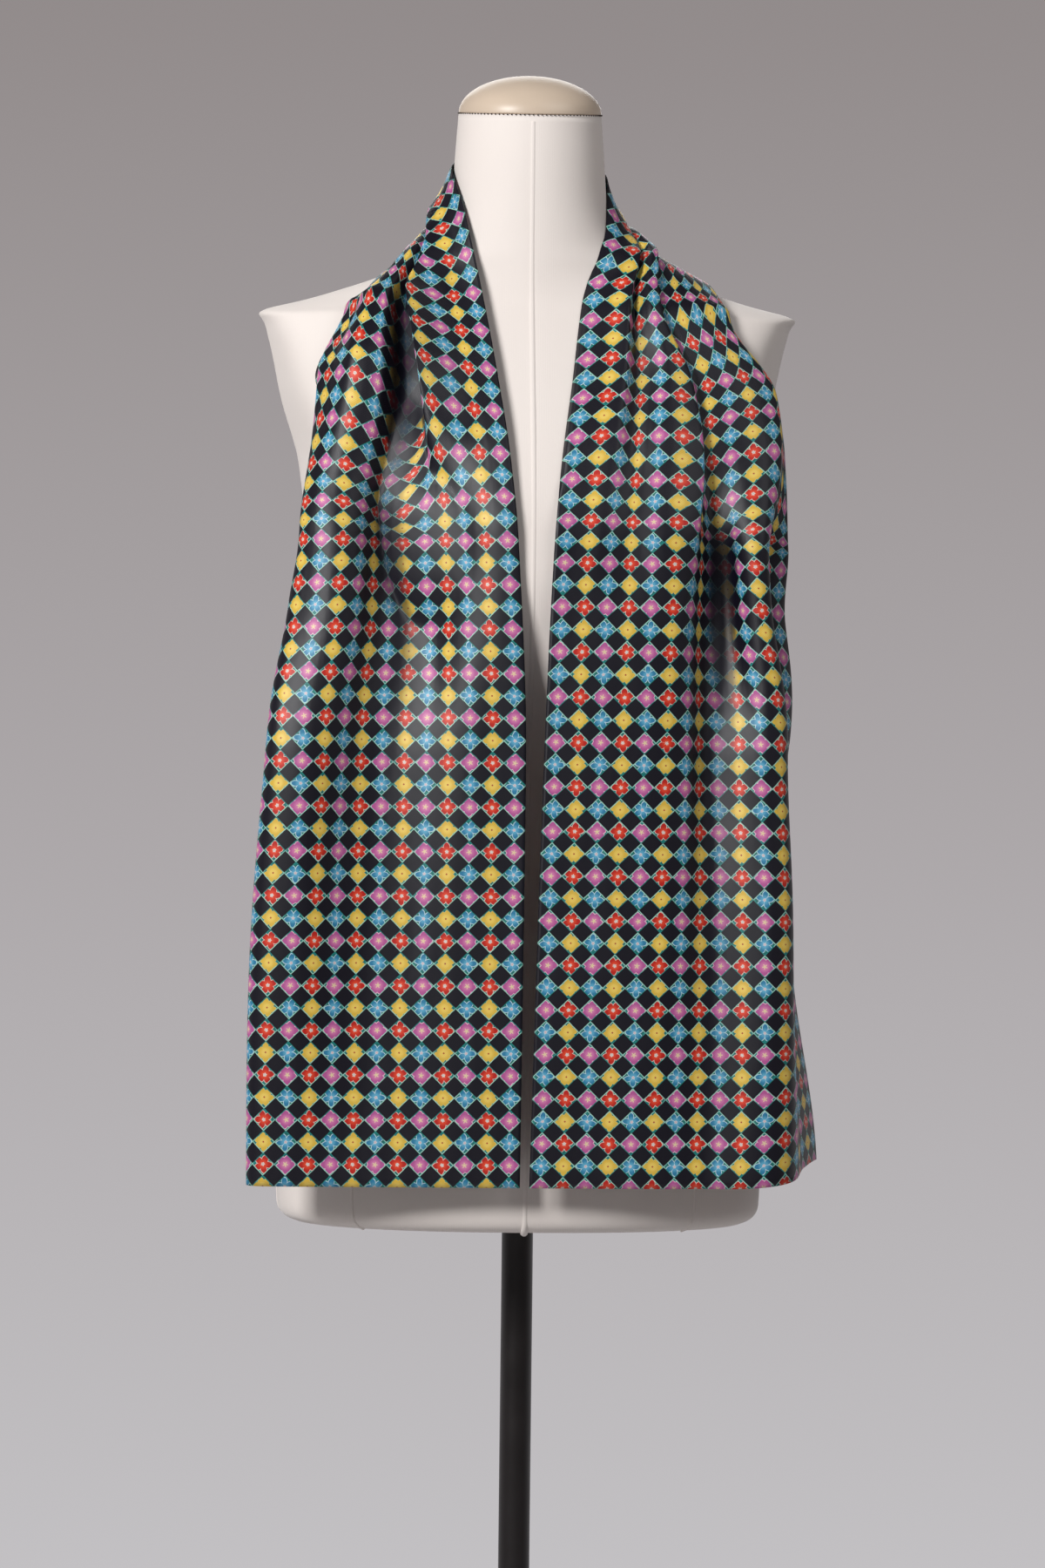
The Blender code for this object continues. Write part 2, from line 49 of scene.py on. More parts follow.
FORM_STEPS = 5
NECK_TILT = math.radians(9.0)
TILT_FROM = 1.560
# The plates lean in towards the front by PLATE_TURN, and a larger PLATE_CORNER makes their edges
# sharper. NO_PLATE lies outside the form.
NO_PLATE = 1.0
PLATE_TURN = 0.30
PLATE_CORNER = 14
#    height  half    front   back    plate     power
FORM = (
    (0.8000, 0.1650, 0.1045, 0.1105, NO_PLATE, 2.3),
    (0.8030, 0.1715, 0.1110, 0.1170, NO_PLATE, 2.3),
    (0.8120, 0.1765, 0.1155, 0.1215, NO_PLATE, 2.3),
    (0.8500, 0.1775, 0.1165, 0.1225, NO_PLATE, 2.3),
    (0.9100, 0.1690, 0.1140, 0.1190, NO_PLATE, 2.3),
    (0.9900, 0.1420, 0.1030, 0.1010, NO_PLATE, 2.2),
    (1.0700, 0.1180, 0.0950, 0.0840, NO_PLATE, 2.2),
    (1.1400, 0.1250, 0.1020, 0.0880, NO_PLATE, 2.2),
    (1.2100, 0.1430, 0.1240, 0.1050, NO_PLATE, 2.2),
    (1.2650, 0.1580, 0.1340, 0.1150, 0.3000, 2.2),
    (1.3050, 0.1740, 0.1315, 0.1180, 0.1650, 2.2),
    (1.3500, 0.2000, 0.1190, 0.1180, 0.1675, 1.9),
    (1.4000, 0.2300, 0.0950, 0.1120, 0.1810, 1.7),
    (1.4400, 0.2450, 0.0765, 0.1000, 0.1895, 1.55),
    (1.4570, 0.2350, 0.0690, 0.0910, 0.1955, 1.5),
    (1.4640, 0.2000, 0.0660, 0.0860, 0.2100, 1.5),
    (1.4710, 0.1680, 0.0635, 0.0800, 0.3000, 1.5),
    (1.4800, 0.1380, 0.0615, 0.0730, NO_PLATE, 1.5),
    (1.4900, 0.1090, 0.0600, 0.0670, NO_PLATE, 1.6),
    (1.5000, 0.0870, 0.0590, 0.0630, NO_PLATE, 1.8),
    (1.5120, 0.0710, 0.0580, 0.0600, NO_PLATE, 1.9),
    (1.5280, 0.0615, 0.0570, 0.0575, NO_PLATE, 2.0),
    (1.5500, 0.0568, 0.0560, 0.0560, NO_PLATE, 2.0),
    (1.5800, 0.0548, 0.0545, 0.0545, NO_PLATE, 2.0),
    (1.6110, 0.0525, 0.0518, 0.0518, NO_PLATE, 2.0),
)
JERSEY = (0.88, 0.81, 0.76)
JERSEY_SHADE = (0.82, 0.74, 0.69)


def through(stations, values, at):
    """Smooth curve through the values that never swings past them, one column at a time."""
    stations = np.asarray(stations, float)
    values = np.asarray(values, float)
    at = np.clip(np.asarray(at, float), stations[0], stations[-1])
    step = np.diff(stations).reshape((-1,) + (1,) * (values.ndim - 1))
    slope = np.diff(values, axis=0) / step
    before, after = slope[:-1], slope[1:]
    same = before * after > 0.0
    mean = np.where(same, 2.0 * before * after / np.where(same, before + after, 1.0), 0.0)
    tangent = np.concatenate([slope[:1], mean, slope[-1:]])
    cell = np.clip(np.searchsorted(stations, at, side="right") - 1, 0, len(stations) - 2)
    width = step[cell]
    part = ((at - stations[cell]).reshape(width.shape)) / width
    return (
        values[cell] * (1 + 2 * part) * (1 - part) ** 2
        + tangent[cell] * width * part * (1 - part) ** 2
        + values[cell + 1] * part**2 * (3 - 2 * part)
        + tangent[cell + 1] * width * part**2 * (part - 1)
    )


def form_sections(per_gap):
    table = np.array(FORM)
    places = np.arange(0.0, len(table) - 1 + 1e-9, 1.0 / per_gap)
    return through(np.arange(len(table)), table, places)


def form_level(x, y, sections):
    """1 on the form's outline, less inside it and more outside."""
    half, front, back, plate, power = sections
    depth = np.where(y < 0.0, front, back)
    round_part = ((np.abs(x) / half) ** power + (np.abs(y) / depth) ** power) ** (1.0 / power)
    plate_part = (np.abs(x) + PLATE_TURN * np.maximum(0.0, -y)) / plate
    return (round_part**PLATE_CORNER + plate_part**PLATE_CORNER) ** (1.0 / PLATE_CORNER)


def linked_piece(name, mesh, material):
    piece = bpy.data.objects.new(name, mesh)
    bpy.context.scene.collection.objects.link(piece)
    mesh.materials.append(material)
    mesh.shade_smooth()
    return piece


class Sums:
    """Short way to write shading as nodes. A value is a socket, a number or a colour."""

    def __init__(self, tree):
        self.tree = tree

    def feed(self, socket, value):
        if isinstance(value, bpy.types.NodeSocket):
            self.tree.links.new(value, socket)
        else:
            socket.default_value = value

    def node(self, kind, **values):
        """New node, with a value for each input that is named."""
        node = self.tree.nodes.new(kind)
        for name, value in values.items():
            self.feed(node.inputs[name], value)
        return node

    def own_place(self):
        return self.node("ShaderNodeTexCoord").outputs["Object"]

    def math(self, kind, *values):
        node = self.node("ShaderNodeMath")
        node.operation = kind
        for socket, value in zip(node.inputs, values):
            self.feed(socket, value)
        return node.outputs[0]

    def mix(self, share, below, above, blend="MIX"):
        node = self.node("ShaderNodeMix")
        node.data_type = "RGBA"
        node.blend_type = blend
        self.feed(node.inputs["Factor"], share)
        for name, colour in (("A", below), ("B", above)):
            self.feed(node.inputs[name], (*colour, 1.0) if isinstance(colour, tuple) else colour)
        return node.outputs["Result"]

    def span(self, value, start, end, kind="LINEAR"):
        """Carries a value over from the range start to the range end."""
        node = self.node("ShaderNodeMapRange", Value=value)
        node.interpolation_type = kind
        for name, number in zip(("From Min", "From Max", "To Min", "To Max"), (*start, *end)):
            node.inputs[name].default_value = number
        return node.outputs["Result"]

    def ramp(self, value, low, high):
        """0 below low and 1 above high, or the other way round where low is the higher."""
        return self.span(value, (low, high), (0.0, 1.0), "SMOOTHSTEP")

    def noise(self, place, scale, detail=2.0):
        node = self.node("ShaderNodeTexNoise", Vector=place, Scale=scale, Detail=detail)
        return node.outputs["Fac"]

    def bump(self, height, strength, distance, below=None):
        """Normal of a surface raised by height, over the normal of what lies below it."""
        node = self.node("ShaderNodeBump", Height=height, Strength=strength, Distance=distance)
        if below is not None:
            self.feed(node.inputs["Normal"], below)
        return node.outputs["Normal"]


def new_material(name, roughness):
    material = bpy.data.materials.new(name)
    material.use_nodes = True
    shader = material.node_tree.nodes["Principled BSDF"]
    shader.inputs["Roughness"].default_value = roughness
    return material, Sums(material.node_tree), shader


def shaded(colour, share):
    return tuple(share * part for part in colour)


def jersey_material():
    """Fine knit: short stitches in wales, a little blotchy, with a soft fuzz."""
    material, sums, shader = new_material("form_jersey", 0.82)
    place = sums.own_place()
    wales = sums.node("ShaderNodeTexWave", Vector=place, Scale=260.0, Distortion=1.6)
    wales.bands_direction = "X"
    wales.inputs["Detail Scale"].default_value = 3.0
    blotch = sums.noise(place, 9.0, 5.0)
    sums.feed(shader.inputs["Base Color"], sums.mix(blotch, JERSEY_SHADE, JERSEY))
    sums.feed(shader.inputs["Normal"], sums.bump(wales.outputs["Fac"], 0.12, 0.0004))
    shader.inputs["Sheen Weight"].default_value = 0.25
    shader.inputs["Sheen Roughness"].default_value = 0.5
    return material


def form_point(section, turn):
    """Point of the form's skin in a level section, at this turn round it."""
    height, *columns = section
    neck = max(0.0, (height - TILT_FROM) / (FORM[-1][0] - TILT_FROM))
    x = columns[0] * math.cos(turn)
    y = (columns[1] if math.sin(turn) < 0 else columns[2]) * math.sin(turn)
    reach = 1.0 / float(form_level(x, y, columns))
    return Vector((x * reach, y * reach, height + math.tan(NECK_TILT) * neck * y * reach))


def dress_form():
    mesh = bpy.data.meshes.new("dress_form")
    build = bmesh.new()
    sections = form_sections(FORM_STEPS)
    rings = [
        [build.verts.new(form_point(s, 2 * math.pi * k / FORM_SIDES)) for k in range(FORM_SIDES)]
        for s in sections
    ]
    for low, high in zip(rings[:-1], rings[1:]):
        for k in range(FORM_SIDES):
            after = (k + 1) % FORM_SIDES
            build.faces.new((low[k], low[after], high[after], high[k]))
    build.faces.new(rings[0][::-1])
    build.faces.new(rings[-1])
    build.to_mesh(mesh)
    build.free()
    return linked_piece("dress_form", mesh, jersey)


jersey = jersey_material()
form = dress_form()
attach(form, "root")
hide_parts("form_body")


# The seams of the cover: a raised welt down the centre front and back, a narrow princess seam on
# each side of them, and one down each flank. Each is a low strip along a line of the form's skin.
SEAM_HEIGHT = 0.0006
SEAM_SIDES = 10
# Half is half the seam's width, turn the side of the form it runs down, in degrees from +X, and
# top the height it ends at.
#    name           half    turn   top
SEAMS = (
    ("welt_front", 0.0030, 270.0, 1.608),
    ("welt_back", 0.0022, 90.0, 1.608),
    ("seam_front_left", 0.0012, 228.5, 1.330),
    ("seam_front_right", 0.0012, 311.5, 1.330),
    ("seam_back_left", 0.0012, 131.0, 1.440),
    ("seam_back_right", 0.0012, 49.0, 1.440),
    ("seam_side_left", 0.0012, 180.0, 1.290),
    ("seam_side_right", 0.0012, 0.0, 1.290),
)


def detail_tree(name, detail):
    """Geometry Nodes: makes small details of one size and material on a bare mesh. Gives the
    tree and the names of these two inputs."""
    tree = bpy.data.node_groups.new(name, "GeometryNodeTree")
    socket = tree.interface.new_socket
    socket("Geometry", in_out="INPUT", socket_type="NodeSocketGeometry")
    size = socket("Size", in_out="INPUT", socket_type="NodeSocketFloat")
    material = socket("Material", in_out="INPUT", socket_type="NodeSocketMaterial")
    socket("Geometry", in_out="OUTPUT", socket_type="NodeSocketGeometry")
    nodes, links = tree.nodes, tree.links
    entry, leave = nodes.new("NodeGroupInput"), nodes.new("NodeGroupOutput")
    whole = nodes.new("GeometryNodeRealizeInstances")
    links.new(detail(nodes, links, entry), whole.inputs["Geometry"])
    dress = nodes.new("GeometryNodeSetMaterial")
    links.new(whole.outputs["Geometry"], dress.inputs["Geometry"])
    links.new(entry.outputs["Material"], dress.inputs["Material"])
    links.new(dress.outputs["Geometry"], leave.inputs["Geometry"])
    return tree, (size.identifier, material.identifier)


def detailed_piece(name, mesh, tree, inputs, size, material):
    """Piece with the mesh that a detail tree makes on a bare one."""
    rough = bpy.data.objects.new(name + "_bare", mesh)
    bpy.context.scene.collection.objects.link(rough)
    details = rough.modifiers.new("details", "NODES")
    details.node_group = tree
    for socket, value in zip(inputs, (size, material)):
        details[socket] = value
    bpy.context.view_layer.update()
    ready = rough.evaluated_get(bpy.context.evaluated_depsgraph_get())
    done = bpy.data.meshes.new_from_object(ready)
    bpy.data.objects.remove(rough)
    piece = bpy.data.objects.new(name, done)
    bpy.context.scene.collection.objects.link(piece)
    done.shade_smooth()
    return piece


def strip(nodes, links, entry):
    """A round strip swept along a line."""
    line = nodes.new("GeometryNodeMeshToCurve")
    links.new(entry.outputs["Geometry"], line.inputs["Mesh"])
    ring = nodes.new("GeometryNodeCurvePrimitiveCircle")
    ring.inputs["Resolution"].default_value = SEAM_SIDES
    links.new(entry.outputs["Size"], ring.inputs["Radius"])
    sweep = nodes.new("GeometryNodeCurveToMesh")
    sweep.inputs["Fill Caps"].default_value = True
    links.new(line.outputs["Curve"], sweep.inputs["Curve"])
    links.new(ring.outputs["Curve"], sweep.inputs["Profile Curve"])
    return sweep.outputs["Mesh"]


def form_seam(name, half_width, turn, top):
    """The strip's line runs inside the skin, so that only a low crown of it shows."""
    mesh = bpy.data.meshes.new(name)
    points = []
    for section in form_sections(FORM_STEPS):
        if section[0] <= top:
            here = form_point(section, math.radians(turn))
            inset = Vector((here.x, here.y, 0.0)).normalized() * (half_width - SEAM_HEIGHT)
            points.append(tuple(here - inset))
    mesh.from_pydata(points, [(k, k + 1) for k in range(len(points) - 1)], [])
    return detailed_piece(name, mesh, seam_tree, seam_inputs, half_width, jersey)


seam_tree, seam_inputs = detail_tree("cover seam", strip)
for name, half_width, turn, top in SEAMS:
    seam = form_seam(name, half_width, turn, top)
    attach(seam, "root")
    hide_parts("form_body")


# The neck cap: a shallow turned dome in cream lacquer, tilted forward with the top of the neck,
# with a thin dark gap where it sits on the cover.
CAP_RADIUS = 0.0525
CAP_HEIGHT = 0.0275
CAP_GAP = 0.0003
CAP_LACQUER = (0.66, 0.53, 0.41)
# The cap's flat underside ends this far in from its rim, and the rim starts this high over it.
CAP_EDGE = 0.0012
CAP_LIP = 0.4 * CAP_EDGE
CAP_STEPS = 40


def turned_piece(name, profile, sides, material):
    """Solid of revolution round the Z axis from a profile that runs from axis to axis."""
    mesh = bpy.data.meshes.new(name)
    build = bmesh.new()
    corners = [build.verts.new((radius, 0.0, height)) for radius, height in profile]
    line = [build.edges.new(pair) for pair in zip(corners[:-1], corners[1:])]
    bmesh.ops.spin(
        build, geom=corners + line, axis=(0, 0, 1), cent=(0, 0, 0), angle=2 * math.pi, steps=sides,
        use_duplicate=False,
    )
    bmesh.ops.remove_doubles(build, verts=build.verts, dist=1e-6)
    bmesh.ops.recalc_face_normals(build, faces=build.faces)
    build.to_mesh(mesh)
    build.free()
    return linked_piece(name, mesh, material)


def lacquer_material():
    """Cream lacquer, a little mottled, with a faint orange peel."""
    material, sums, shader = new_material("cap_lacquer", 0.38)
    mottle = sums.noise(sums.own_place(), 28.0, 6.0)
    tint = sums.mix(mottle, shaded(CAP_LACQUER, 0.9), shaded(CAP_LACQUER, 1.08))
    sums.feed(shader.inputs["Base Color"], tint)
    sums.feed(shader.inputs["Normal"], sums.bump(mottle, 0.05, 0.0003))
    return material


def cap_profile():
    rim = [(0.0, 0.0), (CAP_RADIUS - CAP_EDGE, 0.0)]
    for k in range(CAP_STEPS):
        turn = math.pi / 2 * k / CAP_STEPS
        rim.append((CAP_RADIUS * math.cos(turn), max(CAP_LIP, CAP_HEIGHT * math.sin(turn))))
    return rim + [(0.0, CAP_HEIGHT)]


lacquer = lacquer_material()
cap = turned_piece("neck_cap", cap_profile(), 96, lacquer)
cap.data.transform(Matrix.Rotation(NECK_TILT, 4, "X"))
cap.data.transform(Matrix.Translation((0.0, 0.0, FORM[-1][0] + CAP_GAP)))
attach(cap, "root")
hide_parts("form_neck_cap")


# The hairline under the cap: short dark stitches that gather the cover's cut edge in under the
# cap's rim. They are small round beads set in a ring by Geometry Nodes.
STITCHES = 104
STITCH_RADIUS = 0.00055
STITCH_RING = 0.0527
THREAD = (0.055, 0.038, 0.030)


def beads(nodes, links, entry):
    """A small ball on each point."""
    ball = nodes.new("GeometryNodeMeshIcoSphere")
    ball.inputs["Subdivisions"].default_value = 2
    links.new(entry.outputs["Size"], ball.inputs["Radius"])
    copies = nodes.new("GeometryNodeInstanceOnPoints")
    links.new(entry.outputs["Geometry"], copies.inputs["Points"])
    links.new(ball.outputs["Mesh"], copies.inputs["Instance"])
    return copies.outputs["Instances"]


def stitch_ring():
    thread, _, shader = new_material("cap_thread", 0.7)
    shader.inputs["Base Color"].default_value = (*THREAD, 1.0)
    points = []
    for k in range(STITCHES):
        turn = 2 * math.pi * k / STITCHES
        x, y = STITCH_RING * math.cos(turn), STITCH_RING * math.sin(turn)
        points.append((x, y, FORM[-1][0] + y * math.tan(NECK_TILT)))
    mesh = bpy.data.meshes.new("cap_stitches")
    mesh.from_pydata(points, [], [])
    tree, inputs = detail_tree("cap stitches", beads)
    return detailed_piece("cap_stitches", mesh, tree, inputs, STITCH_RADIUS, thread)


stitches = stitch_ring()
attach(stitches, "root")
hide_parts("form_neck_cap")


# The stand: a dark painted steel pole that plugs into the form's underside, on a plain round
# base plate. The photo's lower edge hides the plate.
GAP = 0.0003
POLE_RADIUS = 0.0115
BASE_RADIUS = 0.170
BASE_THICKNESS = 0.010
BASE_EDGE = 0.003
BASE_STEPS = 8
CRISP_EDGE = math.radians(40)
PAINT = (0.0085, 0.0065, 0.0065)


def paint_material():
    """Dark satin paint, unevenly worn."""
    material, sums, shader = new_material("stand_paint", 0.34)
    wear = sums.noise(sums.own_place(), 45.0, 8.0)
    sums.feed(shader.inputs["Roughness"], sums.span(wear, (0.0, 1.0), (0.26, 0.46)))
    sums.feed(shader.inputs["Base Color"], sums.mix(wear, PAINT, shaded(PAINT, 1.7)))
    return material


def rod_profile(radius, low, high):
    return [(0.0, high), (radius, high), (radius, low), (0.0, low)]


def base_profile():
    rim = [(0.0, BASE_THICKNESS)]
    for k in range(BASE_STEPS + 1):
        turn = math.pi / 2 * k / BASE_STEPS
        radius = BASE_RADIUS - BASE_EDGE * (1 - math.sin(turn))
        rim.append((radius, BASE_THICKNESS - BASE_EDGE * (1 - math.cos(turn))))
    return rim + [(BASE_RADIUS, 0.0), (0.0, 0.0)]


paint = paint_material()
pole_profile = rod_profile(POLE_RADIUS, BASE_THICKNESS + GAP, FORM[0][0] - GAP)
pole = turned_piece("pole", pole_profile, 64, paint)
base = turned_piece("base_plate", base_profile(), 160, paint)
for piece, node in ((pole, "stand_pole"), (base, "stand_base")):
    edge_rule = piece.modifiers.new("crisp edges", "EDGE_SPLIT")
    edge_rule.split_angle = CRISP_EDGE
    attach(piece, "root")
    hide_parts(node)


# The scarf: one straight length of printed silk twill. A row is one pitch of its check along the
# strip and a column one pitch across it. It hangs round the neck: its ends fall free down the
# front, and between them it lies gathered in folds on the shoulders and the back of the neck.
MILLIMETRE = 0.001
PITCH = 0.0157
COLUMNS = 17
ROWS = 107
SILK_WALL = 0.0006
CLEAR_OF_FORM = 0.0006
LEFT_SHOULDER_ROW = 47.0
RIGHT_SHOULDER_ROW = 60.0
STEPS_PER_COLUMN = 20
CELLS_PER_COLUMN = 7
CELLS_PER_ROW = 3

# The scarf's inner edge, and the way the cloth leaves it: bearing is measured from +X towards +Y,
# dip is downwards.
#   row     x        y        z       bearing  dip
EDGE = (
    (0.0, -0.0050, -0.1400, 0.8350, 180.0, 0.0),
    (19.0, -0.0040, -0.1405, 1.1335, 180.0, 0.0),
    (29.0, -0.0110, -0.1400, 1.2900, 176.0, 0.0),
    (33.0, -0.0170, -0.1265, 1.3515, 167.0, 2.0),
    (37.0, -0.0260, -0.0990, 1.4127, 158.0, 6.0),
    (41.0, -0.0360, -0.0700, 1.4720, 158.0, 16.0),
    (45.0, -0.0480, -0.0420, 1.5323, 156.0, 34.0),
    (48.0, -0.0575, -0.0080, 1.5690, 142.0, 50.0),
    (51.0, -0.0440, 0.0400, 1.5830, 115.0, 62.0),
    (53.6, 0.0000, 0.0595, 1.5880, 90.0, 66.0),
    (56.3, 0.0450, 0.0390, 1.5810, 66.0, 62.0),
    (59.0, 0.0580, 0.0060, 1.5640, 40.0, 50.0),
    (61.0, 0.0550, -0.0180, 1.5390, 26.0, 36.0),
    (65.5, 0.0365, -0.0500, 1.4710, 20.0, 15.0),
    (70.0, 0.0280, -0.0870, 1.4040, 17.0, 6.0),
    (74.0, 0.0200, -0.1170, 1.3470, 10.0, 2.0),
    (78.0, 0.0145, -0.1400, 1.2900, 3.0, 0.0),
    (88.0, 0.0085, -0.1405, 1.1330, 0.0, 0.0),
    (107.0, 0.0015, -0.1400, 0.8350, 0.0, 0.0),
)

# Folds of the hanging stretches. Each row of a table is a section across the strip, and gives the
# cloth's heading in degrees at the named columns: 0 runs outwards, positive comes forward,
# negative goes back, and past 90 the cloth runs back behind itself as a pleat.
#    edge band ridge wall floor rise wall roll crest slope fold tuck back strip side turn end
LEFT_AT = (0, 2, 3.9, 4.6, 6, 7, 8.2, 9, 10.4, 11.5, 12.1, 12.7, 13.3, 14.4, 15.4, 16.2, 17)
#   row
LEFT = (
    (0.0, 0, 0, 0, 0, 0, 0, 0, 0, 0, -8, -45, -95, -130, -155, -160, -165, -168),
    (10.0, 0, 0, -5, -5, -1, 6, 18, 20, 1, -12, -36, -82, -122, -148, -158, -165, -168),
    (19.0, 0, 0, -14, -14, -4, 14, 36, 36, 2, -20, -50, -95, -130, -155, -160, -165, -168),
    (26.0, 8, -16, -42, -26, 8, 42, 52, 28, -18, -38, -74, -112, -140, -158, -165, -168, -170),
    (29.5, 12, -24, -42, -30, 4, 50, 62, 36, -16, -46, -92, -126, -145, -160, -165, -168, -170),
    (38.0, 22, -6, -30, -40, -10, 46, 66, 40, -12, -42, -95, -130, -148, -160, -165, -168, -170),
)
#    edge band ridge wall floor crest roll lip under deep rise crown fold tuck back out end
RIGHT_AT = (0, 1.4, 2.2, 2.8, 3.7, 4.4, 5.6, 6.4, 7.2, 8.8, 10.2, 11.3, 12.3, 13.2, 14, 14.8, 17)
#   row
RIGHT = (
    (78.0, 2, 0, -8, -10, 0, 6, -14, -44, -60, -40, 88, 44, -70, -145, -100, -20, -42),
    (81.5, 0, 0, 0, 0, 0, 0, -14, -46, -66, -24, 66, 8, -90, -175, -120, -16, -50),
    (88.0, 0, 0, -2, -2, -2, -4, -12, -30, -58, 20, 12, -28, -90, -170, -120, -40, -68),
    (95.0, 0, 0, 0, 0, -2, -2, -8, -20, -34, 14, 10, -26, -80, -120, -100, -70, -76),
    (107.0, 0, 0, 0, 0, 0, 0, -2, -6, -8, 6, 0, -34, -70, -84, -82, -74, -72),
)

# Folds of the stretch that lies on the shoulders and round the back of the neck: the columns of
# its creases, and how far out over the form and how high off it they lie, in millimetres.
#   row  edge band lip under floor floor wall roll crest slope valley ridge fold tuck strip out end
LAID_AT = (
    (37, 0, 2, 4.3, 4.7, 5.4, 6.6, 7.3, 8.4, 9.6, 10.5, 11.2, 11.9, 12.6, 13.4, 14.6, 15.7, 17),
    (41, 0, 2, 4, 4.5, 5.2, 6.5, 7.2, 8.2, 9.4, 10.4, 11.2, 12, 12.8, 13.6, 14.7, 15.8, 17),
    (45, 0, 1.2, 2.4, 3.2, 4.4, 5.6, 6.4, 7.4, 8.6, 9.6, 10.5, 11.4, 12.3, 13.2, 14.4, 15.6, 17),
    (54, 0, 1.4, 2.8, 3.8, 4.8, 5.8, 6.8, 7.8, 8.8, 9.8, 10.8, 11.8, 12.8, 13.8, 14.8, 15.8, 17),
    (61, 0, 1, 1.9, 2.3, 2.9, 3.5, 4.1, 4.8, 5.6, 7.4, 9.2, 10.4, 11.6, 13, 14.4, 15.7, 17),
    (66, 0, 1.2, 2.1, 2.5, 3.1, 3.7, 4.4, 5, 5.8, 7.6, 9.3, 10.6, 11.8, 13, 14.2, 15.6, 17),
    (70, 0, 1.2, 2.2, 2.7, 3.3, 4, 5.2, 6.3, 7, 8.6, 10, 11, 12, 12.9, 13.9, 15.2, 17),
    (75, 0, 1.2, 2.2, 2.7, 3.2, 3.8, 5.2, 6.6, 7.3, 9, 10.4, 11.3, 12.3, 13.1, 14.2, 15.8, 17),
)
LAID_RUN = (
    (30.0, 0, 27, 57, 54, 55, 72, 79, 88, 109, 121, 129, 136, 142, 139, 124, 134, 144),
    (37.0, 0, 27, 55, 52, 52, 65, 71, 79, 96, 107, 115, 122, 128, 125, 115, 123, 133),
    (41.0, 0, 27, 52, 49, 49, 57, 62, 66, 77, 85, 90, 95, 99, 97, 90, 95, 101),
    (43.0, 0, 21, 41, 39, 40, 46, 50, 55, 64, 70, 75, 79, 83, 81, 77, 82, 87),
    (45.0, 0, 16, 31, 31, 32, 36, 40, 46, 54, 60, 64, 68, 72, 71, 69, 75, 81),
    (49.0, 0, 16, 32, 34, 37, 43, 46, 52, 63, 73, 78, 84, 92, 93, 95, 103, 112),
    (54.0, 0, 18, 36, 40, 46, 56, 63, 70, 82, 92, 96, 104, 114, 119, 125, 132, 140),
    (58.0, 0, 16, 30, 32, 35, 41, 46, 52, 51, 52, 60, 67, 76, 86, 96, 103, 108),
    (61.0, 0, 13, 24, 25, 26, 29, 32, 36, 34, 37, 48, 57, 66, 76, 83, 82, 79),
    (66.0, 0, 18, 32, 34, 37, 41, 47, 53, 50, 52, 67, 81, 94, 104, 107, 103, 99),
    (70.0, 0, 20, 36, 41, 47, 55, 70, 84, 82, 88, 104, 118, 132, 144, 149, 150, 151),
    (75.0, 0, 20, 37, 43, 50, 57, 78, 102, 100, 104, 120, 134, 150, 160, 163, 166, 170),
    (79.0, 0, 20, 37, 43, 50, 57, 78, 104, 104, 108, 124, 136, 152, 158, 154, 164, 174),
)
LAID_RISE = (
    (30.0, 3, 13, 28, 20, 7, 2, 5, 27, 34, 30, 22, 16, 10, 5, 3, 2, 1),
    (37.0, 1, 13, 31, 22, 4, 1, 5, 27, 32, 25, 18, 13, 9, 5, 3, 2, 1),
    (41.0, 1, 9, 23, 15, 4, 1, 5, 18, 21, 16, 9, 9, 6, 3, 2, 1, 1),
    (43.5, 1, 6, 15, 10, 4, 2, 6, 13, 13, 8, 5, 4, 3, 2, 1, 1, 0),
    (46.0, 0, 6, 14, 10, 4, 3, 6, 11, 10, 6, 4, 4, 3, 2, 1, 1, 0),
    (49.0, 0, 5, 12, 9, 3, 2, 6, 10, 11, 8, 4, 6, 6, 3, 1, 1, 0),
    (54.0, 0, 6, 12, 9, 3, 3, 9, 12, 9, 3, 4, 10, 10, 4, 1, 2, 0),
    (58.0, 0, 5, 11, 8, 4, 8, 14, 16, 15, 11, 8, 7, 7, 4, 2, 2, 0),
    (61.0, 0, 5, 9, 6, 4, 9, 14, 15, 12, 11, 9, 8, 7, 5, 4, 2, 0),
    (66.0, 1, 6, 11, 6, 2, 8, 14, 13, 6, 5, 8, 9, 8, 7, 5, 2, 1),
    (70.0, 2, 6, 10, 6, 3, 8, 14, 12, 5, 4, 8, 11, 12, 11, 9, 5, 3),
    (75.0, 3, 5, 8, 6, 4, 6, 12, 11, 4, 2, 5, 10, 14, 12, 8, 4, 2),
)
# The rows between which the cloth comes to lie on the form, and leaves it to hang free again.
LIES_FROM = (29.0, 37.5)
LIES_TO = (72.0, 82.0)
LYING_GAP = 0.0022
SKIN_STEP = 0.0025
SKIN_REACH = 0.20
# A line over the skin sinks back to it by no more than this in one step, and the way off the form
# is evened out over so many steps on each side.
SKIN_SINK = 0.0008
SKIN_EVEN = 6
# Where less than this of the way outwards runs along the skin, the line goes on by shorter steps.
SKIN_SLOW = 0.2
# How many rows away the way off the form is looked at too, to turn it slowly over the shoulder.
WAYS_SPREAD = (-2.4, -1.2, 1.2, 2.4)
FINE_STEPS = 12
CLEARING_ROUNDS = 6

FINE_FORM = form_sections(FINE_STEPS)


def hull_sections():
    """What cloth that hangs over the form meets: no armhole plates, and never narrower than the
    form is above."""
    hull = FINE_FORM.copy()
    hull[:, 1:4] = np.maximum.accumulate(hull[::-1, 1:4], axis=0)[::-1]
    hull[:, 4] = NO_PLATE
    return hull


HULL = hull_sections()


